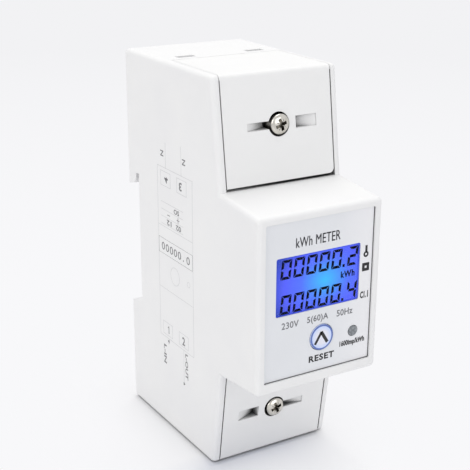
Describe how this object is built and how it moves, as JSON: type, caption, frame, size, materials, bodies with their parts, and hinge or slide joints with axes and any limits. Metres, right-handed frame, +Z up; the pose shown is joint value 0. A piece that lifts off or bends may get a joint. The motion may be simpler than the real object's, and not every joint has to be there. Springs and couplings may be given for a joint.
{
  "type": "din rail energy meter",
  "caption": "Two-module energy meter for a top-hat rail, with a stepped display block, a reset key, terminal covers with sealing screws and a sliding rail latch.",
  "frame": {"origin": "centre of the bounding box in plan, at the lower end that the meter stands on", "axes": "+Z up along the height, -Y out of the display, +Y towards the rail, +X to the right seen from the front"},
  "size_m": [0.035, 0.0658, 0.1006],
  "materials": {
    "housing": "satin white moulding",
    "cover": "satin white moulding",
    "latch": "satin white moulding",
    "nickel_screw": "bright nickel plate",
    "spring_steel": "spring steel",
    "label": "pale blue grey printed sheet",
    "clear_window": "clear acrylic",
    "lcd": "blue lit panel",
    "light_guide": "milky acrylic",
    "elastomer": "striped elastomer",
    "circuit_board": "green solder resist",
    "zinc_screw": "zinc plate",
    "chip": "moulded black",
    "key": "pale blue",
    "switch_plastic": "black",
    "switch_metal": "tinned",
    "lamp": "grey tinted lens",
    "header_plastic": "black",
    "crystal_can": "nickel can",
    "film_case": "yellow case",
    "can_sleeve": "dark sleeve",
    "disc_coat": "blue epoxy",
    "opto_plastic": "white",
    "copper": "copper",
    "zinc_cage": "zinc plate",
    "terminal_screw": "nickel plate",
    "terminal_plastic": "green"
  },
  "bodies": {
    "housing": {"main_housing": "housing", "rear_base": "housing", "upper_terminal_cover": "cover", "lower_terminal_cover": "cover", "upper_sealing_screw": "nickel_screw", "lower_sealing_screw": "nickel_screw", "latch_spring": "spring_steel", "face_label": "label", "display_window": "clear_window", "liquid_crystal_panel": "lcd", "backlight_guide": "light_guide", "panel_connector": "elastomer", "display_board": "circuit_board", "display_controller": "chip", "reset_switch": "switch_metal", "pulse_lamp": "lamp", "main_board": "circuit_board", "main_board_screws": "zinc_screw", "riser_board": "circuit_board", "rear_header": "header_plastic", "front_header": "header_plastic", "metering_chip": "chip", "crystal": "crystal_can", "film_capacitor": "film_case", "smoothing_capacitor": "can_sleeve", "varistor": "disc_coat", "optocoupler": "opto_plastic", "neutral_bar": "copper", "current_shunt": "copper", "pulse_terminal_block": "terminal_plastic", "pulse_terminal_screws": "zinc_screw", "neutral_cage_left": "zinc_cage", "line_cage_left": "zinc_cage", "neutral_screw_left": "terminal_screw", "line_screw_left": "terminal_screw", "neutral_cage_right": "zinc_cage", "line_cage_right": "zinc_cage", "neutral_screw_right": "terminal_screw", "line_screw_right": "terminal_screw"},
    "key": {"reset_key": "key", "switch_plunger": "switch_plastic"},
    "latch": {"rail_latch": "latch"}
  },
  "joints": [
    {"name": "key_press", "type": "slide", "parent": "housing", "child": "key", "axis": [0, 1, 0], "range_m": [0, 0.0004], "stiffness_N_per_m": 1500, "springref_m": -0.0004},
    {"name": "latch_slide", "type": "slide", "parent": "housing", "child": "latch", "axis": [0, 0, -1], "range_m": [0, 0.003], "stiffness_N_per_m": 1200, "springref_m": -0.003, "deforming": ["latch_spring"]}
  ]
}
